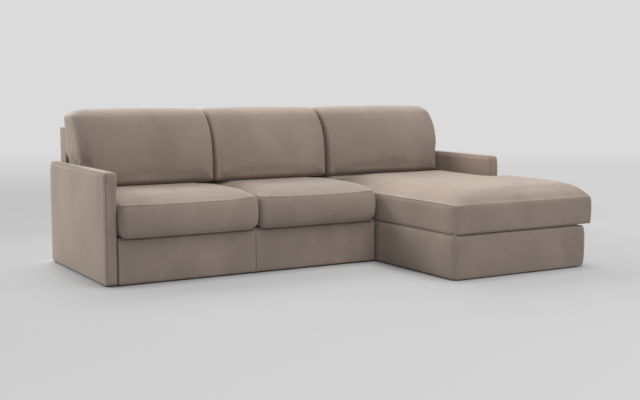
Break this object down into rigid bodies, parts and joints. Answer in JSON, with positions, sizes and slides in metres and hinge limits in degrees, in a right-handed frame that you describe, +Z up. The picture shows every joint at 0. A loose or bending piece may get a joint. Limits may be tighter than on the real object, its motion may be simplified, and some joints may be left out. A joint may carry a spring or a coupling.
{
  "type": "sectional sofa with chaise",
  "caption": "L-shaped fabric sofa with loose seat and back cushions, slim arms and a storage chaise whose lid lifts and tilts on link hinges.",
  "frame": {"origin": "on the floor, under the middle of the whole sofa's outline seen from above", "axes": "+X to the right seen from the front, +Y towards the back, +Z up"},
  "size_m": [2.658, 1.754, 0.9126],
  "materials": {
    "upholstery": "matte",
    "webbing": "matte",
    "lining": "matte",
    "felt": "matte",
    "pine": "matte",
    "plywood": "matte",
    "hinge_steel": "satin",
    "bright_steel": "satin",
    "glide_plastic": "matte"
  },
  "bodies": {
    "base": {"arm_left_board": "plywood", "arm_left_cover": "upholstery", "arm_right_board": "plywood", "arm_right_cover": "upholstery", "back_chaise_cover": "upholstery", "back_chaise_posts": "pine", "back_chaise_rails": "pine", "back_seat_cover": "upholstery", "back_seat_posts": "pine", "back_seat_rails": "pine", "chaise_cover": "upholstery", "chaise_deck_board": "plywood", "chaise_deck_cushion": "upholstery", "chaise_floor": "plywood", "chaise_wall_foot": "plywood", "chaise_wall_left": "plywood", "chaise_wall_middle": "plywood", "chaise_wall_rear": "plywood", "chaise_wall_right": "plywood", "feet_arms": "glide_plastic", "feet_chaise": "glide_plastic", "feet_seat": "glide_plastic", "hinge_bracket_left": "hinge_steel", "hinge_bracket_right": "hinge_steel", "hinge_cam_pins": "bright_steel", "hinge_foot_pins": "bright_steel", "hinge_wall_screws": "bright_steel", "module_joint_plates": "hinge_steel", "seat_corner_blocks": "pine", "seat_cross_straps": "webbing", "seat_deck_pad": "felt", "seat_dust_cloth": "lining", "seat_front_board": "pine", "seat_front_cover_left": "upholstery", "seat_front_cover_middle": "upholstery", "seat_left_rail": "pine", "seat_middle_rail": "pine", "seat_rear_rail": "pine", "seat_right_rail": "pine", "seat_straps": "webbing"},
    "links": {"link_left": "hinge_steel", "link_right": "hinge_steel", "tie_tube": "hinge_steel"},
    "lid": {"cam_plate_left": "hinge_steel", "cam_plate_right": "hinge_steel", "hinge_head_pins": "bright_steel", "hinge_lid_screws": "bright_steel", "lid_cushion": "upholstery", "lid_panel": "plywood", "lid_rail_foot": "pine", "lid_rail_left": "pine", "lid_rail_rear": "pine", "lid_rail_right": "pine", "lid_slat_set": "pine"},
    "seat_left_cushion": {"seat_cushion_left": "upholstery"},
    "seat_middle_cushion": {"seat_cushion_middle": "upholstery"},
    "back_left_cushion": {"back_cushion_left": "upholstery"},
    "back_middle_cushion": {"back_cushion_middle": "upholstery"},
    "back_right_cushion": {"back_cushion_right": "upholstery"}
  },
  "joints": [
    {"name": "link_swing", "type": "hinge", "parent": "base", "child": "links", "pos_m": [0, 0.279, 0.076], "axis": [1, 0, 0], "range_deg": [0, 64]},
    {"name": "lid_turn", "type": "hinge", "parent": "links", "child": "lid", "pos_m": [0, 0.401, 0.218], "axis": [1, 0, 0], "range_deg": [-96, 0]},
    {"name": "seat_left_pull", "type": "slide", "parent": "base", "child": "seat_left_cushion", "axis": [0, -1, 0], "range_m": [0, 0.3]},
    {"name": "seat_middle_pull", "type": "slide", "parent": "base", "child": "seat_middle_cushion", "axis": [0, -1, 0], "range_m": [0, 0.3]},
    {"name": "back_left_lift", "type": "slide", "parent": "base", "child": "back_left_cushion", "axis": [0, 0, 1], "range_m": [0, 0.3]},
    {"name": "back_middle_lift", "type": "slide", "parent": "base", "child": "back_middle_cushion", "axis": [0, 0, 1], "range_m": [0, 0.3]},
    {"name": "back_right_lift", "type": "slide", "parent": "base", "child": "back_right_cushion", "axis": [0, 0, 1], "range_m": [0, 0.3]}
  ],
  "couplings": [
    {"joint": "lid_turn", "follows": "link_swing", "ratio": -1.5}
  ]
}
